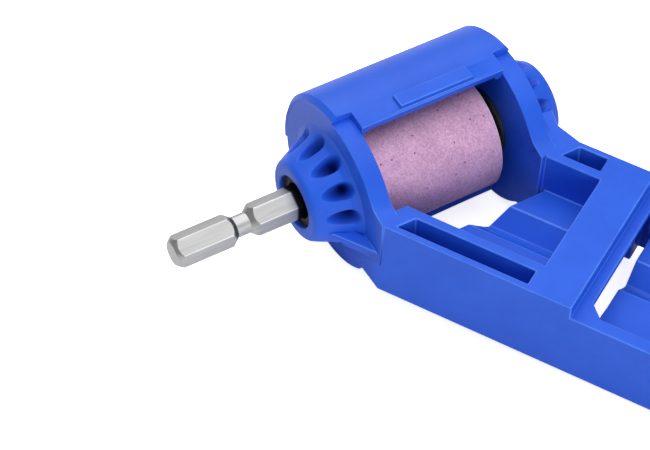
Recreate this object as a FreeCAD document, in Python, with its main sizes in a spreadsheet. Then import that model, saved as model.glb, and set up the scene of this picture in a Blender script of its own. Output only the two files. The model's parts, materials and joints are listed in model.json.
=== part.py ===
"""Drill bit sharpener: a drum housing with a corundum wheel on a hex-shank spindle, and a ladder handle.

Row frame: origin at the middle of the hex shank's end face. X runs along the handle, away from the drum, Y
across it to the far side and Z up. The drum's axis lies in the XY plane, drum_angle from X, so a bit laid
along the handle meets the wheel at half its point angle. Each piece is drawn about the middle of the drum and
its placement moves it out along the axis. Lengths are in millimetres.
"""
import FreeCAD, Part
import math
import os
import Sketcher

V = FreeCAD.Vector
doc = FreeCAD.newDocument("drill_bit_sharpener")

# Driving sizes. "Along" is a distance along the drum's axis from its middle, near side negative.
SIZES = [
    ("drum_angle", 59.0, "drum axis to handle, half of a 118 degree point"),
    ("handle_offset", 8.0, "handle's middle plane, to the near side of the drum's middle"),
    ("handle_half_width", 20.35, "middle plane to a rail's outer face"),
    ("trough_half_width", 13.0, "middle plane to a rail's inner face"),
    ("rail_top", 8.15, "rail tops above the wheel's axis"),
    ("side_height", 20.6, "rail tops down to the handle's lower edges"),
    ("handle_end", 97.2, "tail end of the handle along X"),
    ("low_wall", 3.0, "side wall past the first cross bar"),
    ("low_drop", 3.2, "step down of the sides past the first cross bar"),
    ("bar_start", 38.95, "first cross bar's drum side along X"),
    ("bar_width", 9.3, "cross bars along X"),
    ("bar_pitch", 31.35, "first cross bar to the second"),
    ("bar_thickness", 5.0, "first cross bar, top to bottom; the second has the same underside"),
    ("bar_ledge", 2.4, "ledge along the first cross bar, level with the low sides"),
    ("slot_after_bar", 3.6, "cross bar to the next trough section"),
    ("slot_corner", 3.0, "corner webs between a cross bar and the low sides"),
    ("tail_wall", 2.4, "end wall of the handle"),
    ("floor_depth", 2.0, "trough floor below the wheel's axis"),
    ("floor_thickness", 2.0, "trough floor"),
    ("vee_depth", 3.6, "groove for the bit, below the trough floor"),
    ("vee_flat", 1.2, "flat bottom of the groove"),
    ("vee_near_run", 3.3, "near flank of the groove, across"),
    ("vee_far_run", 4.1, "far flank of the groove, across"),
    ("vee_shift", 0.7, "groove's middle, to the far side of the handle's middle plane"),
    ("trough_edge", 21.0, "drum axis to the first trough section"),
    ("pocket_edge", 21.5, "drum axis to the rail pockets"),
    ("pocket_outer_wall", 1.45, "rail wall outside a pocket"),
    ("pocket_inner_wall", 2.2, "rail wall inside a pocket"),
    ("pocket_end_wall", 0.95, "rail pocket to the first cross bar"),
    ("pocket_floor", 2.0, "rail pocket's floor"),
    ("drum_half_length", 21.25, "drum's middle to its end faces"),
    ("end_wall", 4.25, "end walls of the drum"),
    ("drum_radius", 18.5, "end walls and lower shell, outside"),
    ("shell_wall", 1.8, "lower shell"),
    ("shell_angle", 105.0, "lower shell, from the back round the bottom"),
    ("knee_angle", 38.0, "where an end wall's front edge leaves its circle, degrees"),
    ("knee_reach", 20.2, "drum axis to the knee's outer end"),
    ("knee_flare", 3.4, "sweep of the knee onto the rail, along it"),
    ("knee_lift", 1.1, "sweep of the knee onto the rail, above it"),
    ("nose_length", 8.85, "drum's end face to a nose's tip"),
    ("nose_tip_radius", 8.65, "nose at its tip"),
    ("nose_base_radius", 12.8, "nose at the drum's end face"),
    ("nose_flare", 1.2, "flare where a nose meets the drum's end face"),
    ("nose_bevel", 0.9, "bevelled rim of a nose"),
    ("nose_bore_radius", 5.93, "bore through nose and end wall"),
    ("flute_radius", 1.7, "cutter that makes a nose's flutes"),
    ("flute_circle", 11.4, "circle that the flutes lie on"),
    ("flute_sink", 0.3, "flutes' depth into the end wall"),
    ("flute_count", 12, "flutes round a nose"),
    ("flute_start", 15.0, "first flute from the horizontal, degrees"),
    ("gusset_thickness", 2.0, "webs between the noses and the rails"),
    ("near_web_drop", 1.0, "top of the near web, below the wheel's axis"),
    ("near_web_back", 1.6, "near web's outer edge to the nose's tip"),
    ("hood_wall", 1.85, "hood"),
    ("hood_lip_angle", 78.0, "hood's lip from the horizontal, degrees"),
    ("hood_notch_angle", 92.0, "hood's edge over the end walls, degrees"),
    ("hood_back_angle", 188.0, "hood's back edge, degrees"),
    ("hood_bevel", 1.0, "bevelled ends of the hood"),
    ("hood_rib", 1.3, "locating ribs inside the hood, along the axis"),
    ("hood_rib_depth", 1.2, "locating ribs, inwards"),
    ("hood_play", 0.15, "locating ribs to the end walls"),
    ("grip_start", -7.6, "finger bar on the hood, along, near end"),
    ("grip_length", 17.3, "finger bar on the hood"),
    ("grip_reach", 3.7, "finger bar, drum axis to its front edge"),
    ("grip_width", 3.4, "finger bar, front to back"),
    ("grip_height", 0.9, "finger bar above the hood"),
    ("bush_length", 7.0, "far bearing bush"),
    ("near_bush_length", 12.1, "near bearing bush, which reaches almost to the nose's tip"),
    ("journal_radius", 4.0, "spindle in the near bush"),
    ("tail_journal_radius", 2.5, "spindle in the far bush"),
    ("running_clearance", 0.04, "radial clearance of the journals"),
    ("washer_radius", 7.5, "thrust washers"),
    ("washer_thickness", 0.8, "thrust washers"),
    ("end_play", 0.15, "spindle collar to the near thrust washer"),
    ("collar_radius", 5.6, "spindle collar"),
    ("wheel_radius", 12.95, "grinding wheel"),
    ("wheel_length", 28.7, "grinding wheel"),
    ("wheel_chamfer", 0.5, "grinding wheel's rims"),
    ("wheel_recess_radius", 9.0, "recesses in the wheel's ends"),
    ("wheel_recess_depth", 2.4, "recess in the wheel's far end"),
    ("near_recess_depth", 2.5, "recess in the wheel's near end"),
    ("seat_radius", 3.0, "spindle inside the wheel, and its thread"),
    ("seat_clearance", 0.05, "wheel, flanges and blotters on the spindle, radial"),
    ("flange_radius", 8.0, "clamp flanges"),
    ("flange_thickness", 1.1, "clamp flanges"),
    ("blotter_thickness", 0.4, "paper blotters"),
    ("nut_flats", 10.0, "lock nut across flats"),
    ("nut_height", 3.2, "lock nut"),
    ("thread_end", 0.4, "thread past the lock nut"),
    ("shank_flats", 6.35, "hex shank across flats"),
    ("shank_reach", 28.4, "hex shank out of the near nose"),
    ("shank_tip_length", 12.6, "hex shank in front of its groove"),
    ("shank_groove_length", 4.6, "groove round the hex shank"),
    ("shank_groove_radius", 2.3, "groove round the hex shank"),
    ("shank_groove_slope", 1.6, "sloped ends of the groove"),
    ("shank_tip_radius", 2.6, "hex shank's end face"),
    ("shank_tip_slope", 1.3, "hex shank's chamfer along the axis"),
    ("journal_length", 8.0, "near journal, from the end wall's inner face to where the hex starts"),
]

sheet = doc.addObject("Spreadsheet::Sheet", "Sizes")
for row, (alias, value, note) in enumerate(SIZES, start=1):
    sheet.set(f"A{row}", alias)
    sheet.set(f"B{row}", str(value))
    sheet.set(f"C{row}", note)
    sheet.setAlias(f"B{row}", alias)
doc.recompute()

# Places that several pieces share, written with the sizes' names.
NAMES = sorted((alias for alias, _, _ in SIZES), key=len, reverse=True)
PLACES = {
    "inner_face": "(drum_half_length - end_wall)",
    "nose_tip": "(drum_half_length + nose_length)",
    "low_top": "(rail_top - low_drop)",
    "handle_bottom": "(rail_top - side_height)",
    "near_side": "(-handle_offset - handle_half_width)",
    "far_side": "(-handle_offset + handle_half_width)",
    "bar_end": "(bar_start + bar_width)",
    "bar_two": "(bar_start + bar_pitch)",
    "bar_two_end": "(bar_start + bar_pitch + bar_width)",
    "low_half": "(handle_half_width - low_wall)",
    "bar_under": "(rail_top - bar_thickness)",
    "ledge_end": "(bar_start + bar_width + bar_ledge)",
    "floor_under": "(floor_depth + floor_thickness)",
    "vee_middle": "(vee_shift - handle_offset)",
    "vee_under": "(floor_depth + vee_depth + floor_thickness)",
    "vee_skin": "(floor_thickness * tan(22.5 deg))",
    "hood_radius": "(drum_radius + hood_wall)",
    "wheel_half": "((wheel_length - near_recess_depth) / 2)",
    "wheel_near": "(wheel_length / 2 + near_recess_depth / 2)",
    "near_flange_face": "(wheel_half + blotter_thickness + flange_thickness)",
    "recess_face": "(wheel_half - wheel_recess_depth)",
    "nut_face": "(recess_face + blotter_thickness + flange_thickness)",
    "shank_end": "(nose_tip + shank_reach)",
    "hex_root": "(inner_face + journal_length)",
    "turn": "(drum_angle * 1 deg)",
}


def spelled(text):
    """The expression with every place written out and every size read from the sheet."""
    words = []
    word = ""
    for char in text + " ":
        if char.isalnum() or char == "_":
            word += char
            continue
        if word in PLACES:
            words.append(spelled(PLACES[word]).strip())
        elif word in NAMES:
            words.append("Sizes." + word)
        else:
            words.append(word)
        word = ""
        words.append(char)
    return "".join(words).strip()


def number(text):
    """The expression's value now."""
    value = sheet.evalExpression(spelled(text).replace("Sizes.", ""))
    return float(getattr(value, "Value", value))


def at(along, out):
    """Row X and Y of a point given along the drum's axis and out from it towards the handle."""
    x = f"({along}) * cos(turn) + ({out}) * sin(turn)"
    y = f"({along}) * sin(turn) - ({out}) * cos(turn)"
    return x, y


def across(out, y):
    """Row X of the point at height y of the plan that lies out from the drum's axis."""
    return f"(({out}) + ({y}) * cos(turn)) / sin(turn)"


def along_at(along, y):
    """Row X of the point at height y of the plan that lies along the drum's axis."""
    return f"(({along}) - ({y}) * sin(turn)) / cos(turn)"


def new_body(name, turned=False):
    """A body drawn about the middle of the drum, with its own X along the drum's axis if it is turned."""
    body = doc.addObject("PartDesign::Body", name)
    body.Label = name
    angle = number("drum_angle") if turned else 0.0
    body.Placement = FreeCAD.Placement(V(0, 0, 0), FreeCAD.Rotation(V(0, 0, 1), angle))
    if turned:
        body.setExpression("Placement.Rotation.Angle", spelled("turn"))
    body.setExpression("Placement.Base.x", spelled("shank_end * cos(turn)"))
    body.setExpression("Placement.Base.y", spelled("shank_end * sin(turn)"))
    return body


def sketch_on(body, name, plane, lift="0", turned=False):
    """An empty sketch on one of the body's origin planes, lifted off it, and turned onto the drum's axis."""
    sketch = body.newObject("Sketcher::SketchObject", name)
    support = [feature for feature in body.Origin.OriginFeatures if feature.Role == plane][0]
    sketch.AttachmentSupport = [(support, "")]
    sketch.MapMode = "FlatFace"
    if turned:
        upright = V(0, 0, 1) if plane == "XY_Plane" else V(0, 1, 0)
        turn = FreeCAD.Rotation(upright, number("drum_angle"))
        sketch.AttachmentOffset = FreeCAD.Placement(V(0, 0, 0), turn)
        sketch.setExpression("AttachmentOffset.Rotation.Angle", spelled("turn"))
        if lift != "0":
            # The lift runs along the turned plane's own normal.
            sketch.setExpression("AttachmentOffset.Base.x", spelled(f"({lift}) * sin(turn)"))
            sketch.setExpression("AttachmentOffset.Base.z", spelled(f"({lift}) * cos(turn)"))
    elif lift != "0":
        sketch.setExpression("AttachmentOffset.Base.z", spelled(lift))
    return sketch


def bind(sketch, kind, geometry, point, text):
    index = sketch.addConstraint(Sketcher.Constraint(kind, -1, 1, geometry, point, number(text)))
    sketch.setExpression(f"Constraints[{index}]", spelled(text))


def outline(body, name, plane, points, lift="0", turned=False):
    """A closed sketch of straight lines, each corner held by two sizes."""
    sketch = sketch_on(body, name, plane, lift, turned)
    corners = [V(number(x), number(y), 0) for x, y in points]
    count = len(corners)
    for i in range(count):
        sketch.addGeometry(Part.LineSegment(corners[i], corners[(i + 1) % count]), False)
    for i in range(count):
        sketch.addConstraint(Sketcher.Constraint("Coincident", i, 2, (i + 1) % count, 1))
    for i, (x, y) in enumerate(points):
        for kind, text, axis in (("DistanceX", x, -2), ("DistanceY", y, -1)):
            if text == "0":
                sketch.addConstraint(Sketcher.Constraint("PointOnObject", i, 1, axis))
            else:
                bind(sketch, kind, i, 1, text)
    return sketch


def rings(body, name, plane, circles, lift="0", turned=False):
    """A sketch of circles given as (x, y, radius)."""
    sketch = sketch_on(body, name, plane, lift, turned)
    for i, (x, y, radius) in enumerate(circles):
        middle = V(number(x), number(y), 0)
        sketch.addGeometry(Part.Circle(middle, V(0, 0, 1), number(radius)), False)
        if x == "0" and y == "0":
            sketch.addConstraint(Sketcher.Constraint("Coincident", i, 3, -1, 1))
        else:
            bind(sketch, "DistanceX", i, 3, x)
            bind(sketch, "DistanceY", i, 3, y)
        index = sketch.addConstraint(Sketcher.Constraint("Radius", i, number(radius)))
        sketch.setExpression(f"Constraints[{index}]", spelled(radius))
    return sketch


def volume(body):
    doc.recompute()
    return body.Shape.Volume


def grow(body, kind, name, sketch, length=None, angle=None, back=False):
    """A Pad, Pocket, Revolution or Groove on a sketch, checked to have changed the body."""
    before = volume(body) if body.Tip and body.Tip.isDerivedFrom("PartDesign::Feature") else 0.0
    feature = body.newObject("PartDesign::" + kind, name)
    feature.Profile = sketch
    if length:
        feature.Length = number(length)
        feature.setExpression("Length", spelled(length))
    else:
        feature.ReferenceAxis = (sketch, ["H_Axis"])
        feature.Angle = 360.0
        if angle:
            feature.setExpression("Angle", spelled(angle))
    feature.Reversed = back
    body.Tip = feature
    after = volume(body)
    wanted = 1 if kind in ("Pad", "Revolution") else -1
    if (after - before) * wanted <= 1e-6:
        raise RuntimeError(f"{body.Label}.{name} changed the volume by {after - before:.4f}")
    return feature


def ring_pattern(body, name, feature, sketch, count):
    pattern = body.newObject("PartDesign::PolarPattern", name)
    pattern.Originals = [feature]
    pattern.Axis = (sketch, ["H_Axis"])
    pattern.Angle = 360.0
    pattern.Occurrences = int(number(count))
    pattern.setExpression("Occurrences", spelled(count))
    body.Tip = pattern
    doc.recompute()
    return pattern


def bevel_edges(body, name, test, size):
    """A bevel on the edges of the body's tip that the test picks."""
    doc.recompute()
    tip = body.Tip
    picked = [f"Edge{i}" for i, edge in enumerate(tip.Shape.Edges, start=1) if test(edge)]
    if not picked:
        raise RuntimeError(f"{body.Label}.{name} found no edge")
    bevel = body.newObject("PartDesign::Chamfer", name)
    bevel.Base = (tip, picked)
    bevel.Size = number(size)
    bevel.setExpression("Size", spelled(size))
    body.Tip = bevel
    doc.recompute()
    return bevel


def drum_place(point):
    """Distance along the drum's axis, and from it, of a point in the row frame."""
    turn = math.radians(number("drum_angle"))
    along = point.x * math.cos(turn) + point.y * math.sin(turn)
    out = point.x * math.sin(turn) - point.y * math.cos(turn)
    return along, math.hypot(out, point.z)


# Frame: one moulding. The handle is a block in plan, cored from above and below into rails, cross bars and
# trough sections that alternate along it, so that the mould opens straight up and down.
frame = new_body("frame")
near_corner = (along_at("-drum_half_length", "near_side"), "near_side")
far_corner = (along_at("drum_half_length", "far_side"), "far_side")
plan = [
    near_corner,
    ("handle_end", "near_side"),
    ("handle_end", "far_side"),
    far_corner,
    at("drum_half_length", "nose_base_radius"),
    at("-drum_half_length", "nose_base_radius"),
]
block = outline(frame, "handle_plan", "XY_Plane", plan, lift="handle_bottom")
grow(frame, "Pad", "handle_block", block, length="side_height")


def core(name, start, end, half, bottom, top, corner=None):
    """Cuts the space between the sides from start to end along X, between two heights. A corner size leaves a
    slanting web in the two corners at the start."""
    near = f"-handle_offset - ({half})"
    far = f"-handle_offset + ({half})"
    points = [(start, near), (end, near), (end, far), (start, far)]
    if corner:
        points = [(f"{start} + {corner}", near), (end, near), (end, far), (f"{start} + {corner}", far),
                  (start, f"{far} - {corner}"), (start, f"{near} + {corner}")]
    sketch = outline(frame, name + "_plan", "XY_Plane", points, lift=top)
    grow(frame, "Pocket", name, sketch, length=f"({top}) - ({bottom})")


# Sides step down past the first cross bar.
step = [
    ("bar_end", "near_side - 1"),
    ("handle_end + 1", "near_side - 1"),
    ("handle_end + 1", "far_side + 1"),
    ("bar_end", "far_side + 1"),
]
grow(frame, "Pocket", "side_step", outline(frame, "side_step_plan", "XY_Plane", step, lift="rail_top"),
     length="low_drop")

# From above: the trough over its three sections.
core("trough_one", "-drum_half_length", "bar_start", "trough_half_width", "-floor_depth", "rail_top")
core("trough_two", "ledge_end", "bar_two", "low_half", "-floor_depth", "low_top", corner="slot_corner")
core("trough_three", "bar_two_end", "handle_end - tail_wall", "low_half", "-floor_depth", "low_top",
     corner="slot_corner")

# From below: the hollow under the floors, with the groove's ridge left standing, then the wells under the
# cross bars.
hollow = [
    ("-handle_offset - trough_half_width", "handle_bottom - 1"),
    ("-handle_offset + trough_half_width", "handle_bottom - 1"),
    ("-handle_offset + trough_half_width", "-floor_under"),
    ("vee_middle + vee_flat / 2 + vee_far_run + vee_skin", "-floor_under"),
    ("vee_middle + vee_flat / 2 + vee_skin", "-vee_under"),
    ("vee_middle - vee_flat / 2 - vee_skin", "-vee_under"),
    ("vee_middle - vee_flat / 2 - vee_near_run - vee_skin", "-floor_under"),
    ("-handle_offset - trough_half_width", "-floor_under"),
]
grow(frame, "Pocket", "hollow_one", outline(frame, "hollow_one_section", "YZ_Plane", hollow, lift="bar_start"),
     length="bar_start + drum_half_length + nose_length")
low_hollow = [(x.replace("trough_half_width", "low_half"), y) for x, y in hollow]
grow(frame, "Pocket", "hollow_two",
     outline(frame, "hollow_two_section", "YZ_Plane", low_hollow, lift="handle_end - tail_wall"),
     length="handle_end - tail_wall - bar_end")
core("well_one", "bar_start", "bar_end", "trough_half_width", "handle_bottom", "bar_under")
core("ledge_well", "bar_end", "ledge_end", "low_half", "handle_bottom", "bar_under")
core("slot_one", "ledge_end", "bar_end + slot_after_bar", "low_half - slot_corner", "handle_bottom", "low_top")
core("well_two", "bar_two", "bar_two_end", "low_half", "handle_bottom", "bar_under")
core("slot_two", "bar_two_end", "bar_two_end + slot_after_bar", "low_half - slot_corner", "handle_bottom", "low_top")

# Groove for the bit, along every trough section. In the tail wall it opens into a notch, so that a long bit
# passes out over the end.


def groove(name, start, end, rise):
    """Cuts the groove from start to end along X, its flanks carried on to a height above the trough floor."""
    near_flank = f"vee_near_run * (1 + ({rise}) / vee_depth)"
    far_flank = f"vee_far_run * (1 + ({rise}) / vee_depth)"
    points = [
        (f"vee_middle - vee_flat / 2 - {near_flank}", f"{rise} - floor_depth"),
        ("vee_middle - vee_flat / 2", "-floor_depth - vee_depth"),
        ("vee_middle + vee_flat / 2", "-floor_depth - vee_depth"),
        (f"vee_middle + vee_flat / 2 + {far_flank}", f"{rise} - floor_depth"),
    ]
    grow(frame, "Pocket", name, outline(frame, name + "_section", "YZ_Plane", points, lift=end),
         length=f"({end}) - ({start})")


groove("bit_groove_tail", "bar_two_end", "handle_end + 1", "low_top + floor_depth + 1")
groove("bit_groove", "-drum_half_length", "bar_two", "1")

# Window in front of the wheel: the trough starts clear of the drum, square to its axis.
window = [
    (across("trough_edge", "-handle_offset - trough_half_width"), "-handle_offset - trough_half_width"),
    (across("trough_edge", "-handle_offset + trough_half_width"), "-handle_offset + trough_half_width"),
    ("-drum_half_length", "-handle_offset + trough_half_width"),
    ("-drum_half_length", "-handle_offset - trough_half_width"),
]
grow(frame, "Pocket", "window", outline(frame, "window_plan", "XY_Plane", window, lift="rail_top"),
     length="side_height")

# Rail pockets, one in each rail, their drum ends square to the drum's axis.
for side, sign in (("near", "-"), ("far", "+")):
    inner = f"-handle_offset {sign} (trough_half_width + pocket_inner_wall)"
    outer = f"-handle_offset {sign} (handle_half_width - pocket_outer_wall)"
    pocket = [
        (across("pocket_edge", inner), inner),
        ("bar_start - pocket_end_wall", inner),
        ("bar_start - pocket_end_wall", outer),
        (across("pocket_edge", outer), outer),
    ]
    grow(frame, "Pocket", side + "_rail_pocket",
         outline(frame, side + "_rail_pocket_plan", "XY_Plane", pocket, lift="rail_top"),
         length="side_height - pocket_floor")

# Drum: the space for the wheel is turned out of the handle, then the end walls with their noses are turned
# on, and the lower shell closes the back and the bottom.
bay = [
    ("-inner_face", "0"),
    ("inner_face", "0"),
    ("inner_face", "drum_radius + 0.8"),
    ("-inner_face", "drum_radius + 0.8"),
]
grow(frame, "Groove", "wheel_bay", outline(frame, "wheel_bay_section", "XY_Plane", bay, turned=True))


def turned_end(sign):
    """Half section of an end wall with its nose."""
    return [
        (f"{sign}inner_face", "nose_bore_radius"),
        (f"{sign}nose_tip", "nose_bore_radius"),
        (f"{sign}nose_tip", "nose_tip_radius"),
        (f"{sign}(drum_half_length + nose_flare)",
         "nose_base_radius - nose_flare * (nose_base_radius - nose_tip_radius) / nose_length"),
        (f"{sign}drum_half_length", "nose_base_radius + nose_flare"),
        (f"{sign}drum_half_length", "drum_radius"),
        (f"{sign}inner_face", "drum_radius"),
    ]


# The knees carry the end walls' front edges down onto the rails.
knee = [
    ("-drum_radius * cos(knee_angle * 1 deg)", "drum_radius * sin(knee_angle * 1 deg)"),
    ("-knee_reach + knee_flare", "rail_top + knee_lift"),
    ("-knee_reach", "rail_top"),
    ("-knee_reach", "-floor_under"),
    ("-nose_base_radius", "-floor_under - vee_depth"),
    ("-nose_base_radius", "rail_top"),
]
for side, sign in (("near", "-"), ("far", "")):
    start = f"{sign}inner_face"
    turned_sketch = outline(frame, side + "_end_section", "XY_Plane", turned_end(sign), turned=True)
    grow(frame, "Revolution", side + "_end", turned_sketch)
    knee_sketch = outline(frame, side + "_knee_section", "YZ_Plane", knee, lift=start, turned=True)
    grow(frame, "Pad", side + "_knee", knee_sketch, length="end_wall", back=(sign == "-"))

# The shell runs a little into both end walls.
shell = [
    ("-inner_face - 0.5", "drum_radius - shell_wall"),
    ("inner_face + 0.5", "drum_radius - shell_wall"),
    ("inner_face + 0.5", "drum_radius"),
    ("-inner_face - 0.5", "drum_radius"),
]
shell_sketch = outline(frame, "lower_shell_section", "XY_Plane", shell, turned=True)
grow(frame, "Revolution", "lower_shell", shell_sketch, angle="shell_angle * 1 deg", back=True)

# A flat web ties the far nose to the far rail.
gusset = [
    at("drum_half_length - 0.5", "nose_bore_radius + 3"),
    at("nose_tip - 3.4", "nose_bore_radius + 3"),
    at("nose_tip - 5", "nose_tip_radius + 5.5"),
    (across("knee_reach", "far_side"), "far_side"),
    at("drum_half_length - 0.5", "knee_reach"),
]
grow(frame, "Pad", "far_gusset",
     outline(frame, "far_gusset_plan", "XY_Plane", gusset, lift="rail_top - gusset_thickness"),
     length="gusset_thickness")

# A lower one ties the near nose to the corner of the near rail.
near_web = [
    at("-drum_half_length + 0.5", "nose_bore_radius + 3"),
    at("-nose_tip + near_web_back", "nose_tip_radius - 0.5"),
    near_corner,
    at("-drum_half_length + 0.5", "knee_reach - 1"),
]
grow(frame, "Pad", "near_web",
     outline(frame, "near_web_plan", "XY_Plane", near_web, lift="-near_web_drop - gusset_thickness"),
     length="gusset_thickness")

# Flutes, cut along the axis with a ten-sided cutter: shallow at the tip and deep at the end face.
flute_plan = []
for corner in range(10):
    swing = f"flute_start + {18 + 36 * corner}"
    flute_plan.append((f"-flute_circle * cos(flute_start * 1 deg) + flute_radius * cos(({swing}) * 1 deg)",
                       f"flute_circle * sin(flute_start * 1 deg) + flute_radius * sin(({swing}) * 1 deg)"))
for side, sign in (("near", "-"), ("far", "")):
    flute = outline(frame, side + "_flute_section", "YZ_Plane", flute_plan, lift=f"{sign}nose_tip", turned=True)
    cut = grow(frame, "Pocket", side + "_flute", flute, length="nose_length + flute_sink", back=(sign == "-"))
    ring_pattern(frame, side + "_flutes", cut, frame.getObject(side + "_end_section"), "flute_count")


def nose_rim(edge):
    if not isinstance(edge.Curve, Part.Circle):
        return False
    along, _ = drum_place(edge.Curve.Center)
    tip = abs(abs(along) - number("nose_tip")) < 1e-4
    return tip and abs(edge.Curve.Radius - number("nose_tip_radius")) < 1e-4


bevel_edges(frame, "nose_rims", nose_rim, "nose_bevel")

# Hood: a snap-on shell over the top and back of the drum. Its lip reaches further forward between the end
# walls than over them, and carries a finger bar.
hood = new_body("wheel_hood", turned=True)
hood_ring = rings(hood, "hood_section", "YZ_Plane", [("0", "0", "hood_radius"), ("0", "0", "drum_radius")],
                  lift="-drum_half_length")
grow(hood, "Pad", "hood_tube", hood_ring, length="2 * drum_half_length")


def hood_end(edge):
    round_one = isinstance(edge.Curve, Part.Circle)
    return round_one and abs(edge.Curve.Radius - number("hood_radius")) < 1e-4


bevel_edges(hood, "hood_rims", hood_end, "hood_bevel")
for side, start in (("near", "-inner_face + hood_play"), ("far", "inner_face - hood_play - hood_rib")):
    rib = [
        (start, "drum_radius - hood_rib_depth"),
        (f"{start} + hood_rib", "drum_radius - hood_rib_depth"),
        (f"{start} + hood_rib", "drum_radius + 0.5"),
        (start, "drum_radius + 0.5"),
    ]
    grow(hood, "Revolution", side + "_rib", outline(hood, side + "_rib_section", "XY_Plane", rib),
         angle="(180 - hood_lip_angle) * 1 deg")


def spoke(angle, reach="2 * hood_radius"):
    return f"-({reach}) * cos({angle})", f"({reach}) * sin({angle})"


opening = [
    ("0", "0"),
    spoke("hood_lip_angle * 1 deg"),
    spoke("0 deg"),
    spoke("-90 deg"),
    spoke("hood_back_angle * 1 deg"),
]
grow(hood, "Pocket", "hood_opening",
     outline(hood, "hood_opening_section", "YZ_Plane", opening, lift="drum_half_length"),
     length="2 * drum_half_length")
notch = [("0", "0"), spoke("hood_notch_angle * 1 deg"), spoke("hood_lip_angle * 1 deg - 8 deg")]
grow(hood, "Pocket", "near_notch",
     outline(hood, "near_notch_section", "YZ_Plane", notch, lift="-inner_face"), length="end_wall")
grow(hood, "Pocket", "far_notch",
     outline(hood, "far_notch_section", "YZ_Plane", notch, lift="drum_half_length"), length="end_wall")
grip = [
    ("grip_start", "-grip_reach"),
    ("grip_start + grip_length", "-grip_reach"),
    ("grip_start + grip_length", "grip_width - grip_reach"),
    ("grip_start", "grip_width - grip_reach"),
]
grow(hood, "Pad", "finger_bar",
     outline(hood, "finger_bar_plan", "XY_Plane", grip, lift="hood_radius - 1"), length="1 + grip_height")


def turned_piece(name, section):
    """A piece turned about the drum's axis, from a half section of (along, radius) corners."""
    body = new_body(name, turned=True)
    grow(body, "Revolution", name + "_turned", outline(body, name + "_section", "XY_Plane", section))
    return body


def ring_section(start, end, bore, radius):
    return [(start, bore), (end, bore), (end, radius), (start, radius)]


# Bearings pressed into the end walls, and the washers that the turning parts run against.
near_bush = turned_piece("near_bush", ring_section(
    "-inner_face - near_bush_length", "-inner_face", "journal_radius + running_clearance", "nose_bore_radius"))
far_bush = turned_piece("far_bush", ring_section(
    "inner_face", "inner_face + bush_length", "tail_journal_radius + running_clearance", "nose_bore_radius"))
near_washer = turned_piece("near_thrust_washer", ring_section(
    "-inner_face", "-inner_face + washer_thickness", "journal_radius + running_clearance", "washer_radius"))
far_washer = turned_piece("far_thrust_washer", ring_section(
    "inner_face - washer_thickness", "inner_face", "tail_journal_radius + running_clearance", "washer_radius"))

# Spindle: a hex shank with a ball-catch groove, the near journal, a collar, the wheel's seat and the far
# journal.
spindle = new_body("spindle", turned=True)
corner = "shank_flats / 2 / cos(30 deg)"
hexagon = [(f"({corner}) * cos({60 * i + 30} deg)", f"({corner}) * sin({60 * i + 30} deg)") for i in range(6)]
hexagon = [(x if i not in (1, 4) else "0", y) for i, (x, y) in enumerate(hexagon)]
grow(spindle, "Pad", "hex_shank", outline(spindle, "hex_shank_section", "YZ_Plane", hexagon, lift="-shank_end"),
     length="shank_end - hex_root + 1")
catch = [
    ("-shank_end + shank_tip_length", corner + " + 1"),
    ("-shank_end + shank_tip_length", corner),
    ("-shank_end + shank_tip_length + shank_groove_slope", "shank_groove_radius"),
    ("-shank_end + shank_tip_length + shank_groove_length", "shank_groove_radius"),
    ("-shank_end + shank_tip_length + shank_groove_length + shank_groove_slope", corner),
    ("-shank_end + shank_tip_length + shank_groove_length + shank_groove_slope", corner + " + 1"),
]
grow(spindle, "Groove", "catch_groove", outline(spindle, "catch_groove_section", "XY_Plane", catch))
tip = [
    ("-shank_end - 1", "shank_tip_radius"),
    ("-shank_end", "shank_tip_radius"),
    ("-shank_end + shank_tip_slope", corner),
    ("-shank_end + shank_tip_slope", corner + " + 1"),
    ("-shank_end - 1", corner + " + 1"),
]
grow(spindle, "Groove", "shank_chamfer", outline(spindle, "shank_chamfer_section", "XY_Plane", tip))
arbor = [
    ("-hex_root", "0"),
    ("inner_face + bush_length", "0"),
    ("inner_face + bush_length", "tail_journal_radius"),
    ("nut_face + nut_height + thread_end", "tail_journal_radius"),
    ("nut_face + nut_height + thread_end", "seat_radius"),
    ("-near_flange_face", "seat_radius"),
    ("-near_flange_face", "collar_radius"),
    ("-inner_face + washer_thickness + end_play", "collar_radius"),
    ("-inner_face + washer_thickness + end_play", "journal_radius"),
    ("-hex_root", "journal_radius"),
]
grow(spindle, "Revolution", "arbor", outline(spindle, "arbor_section", "XY_Plane", arbor))

# Grinding wheel with a recess at each end, clamped between blotters and flanges by the lock nut.
hole = "seat_radius + seat_clearance"
wheel = turned_piece("grinding_wheel", [
    ("-wheel_half", hole),
    ("recess_face", hole),
    ("recess_face", "wheel_recess_radius"),
    ("wheel_half", "wheel_recess_radius"),
    ("wheel_half", "wheel_radius - wheel_chamfer"),
    ("wheel_half - wheel_chamfer", "wheel_radius"),
    ("-wheel_near + wheel_chamfer", "wheel_radius"),
    ("-wheel_near", "wheel_radius - wheel_chamfer"),
    ("-wheel_near", "wheel_recess_radius"),
    ("-wheel_half", "wheel_recess_radius"),
])
near_blotter = turned_piece("near_blotter", ring_section(
    "-wheel_half - blotter_thickness", "-wheel_half", hole, "flange_radius"))
near_flange = turned_piece("near_flange", ring_section(
    "-near_flange_face", "-near_flange_face + flange_thickness", hole, "flange_radius"))
far_blotter = turned_piece("far_blotter", ring_section(
    "recess_face", "recess_face + blotter_thickness", hole, "flange_radius"))
far_flange = turned_piece("far_flange", ring_section(
    "nut_face - flange_thickness", "nut_face", hole, "flange_radius"))
nut = new_body("lock_nut", turned=True)
nut_corner = "nut_flats / 2 / cos(30 deg)"
nut_plan = [(f"({nut_corner}) * cos({60 * i + 30} deg)", f"({nut_corner}) * sin({60 * i + 30} deg)")
            for i in range(6)]
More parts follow.
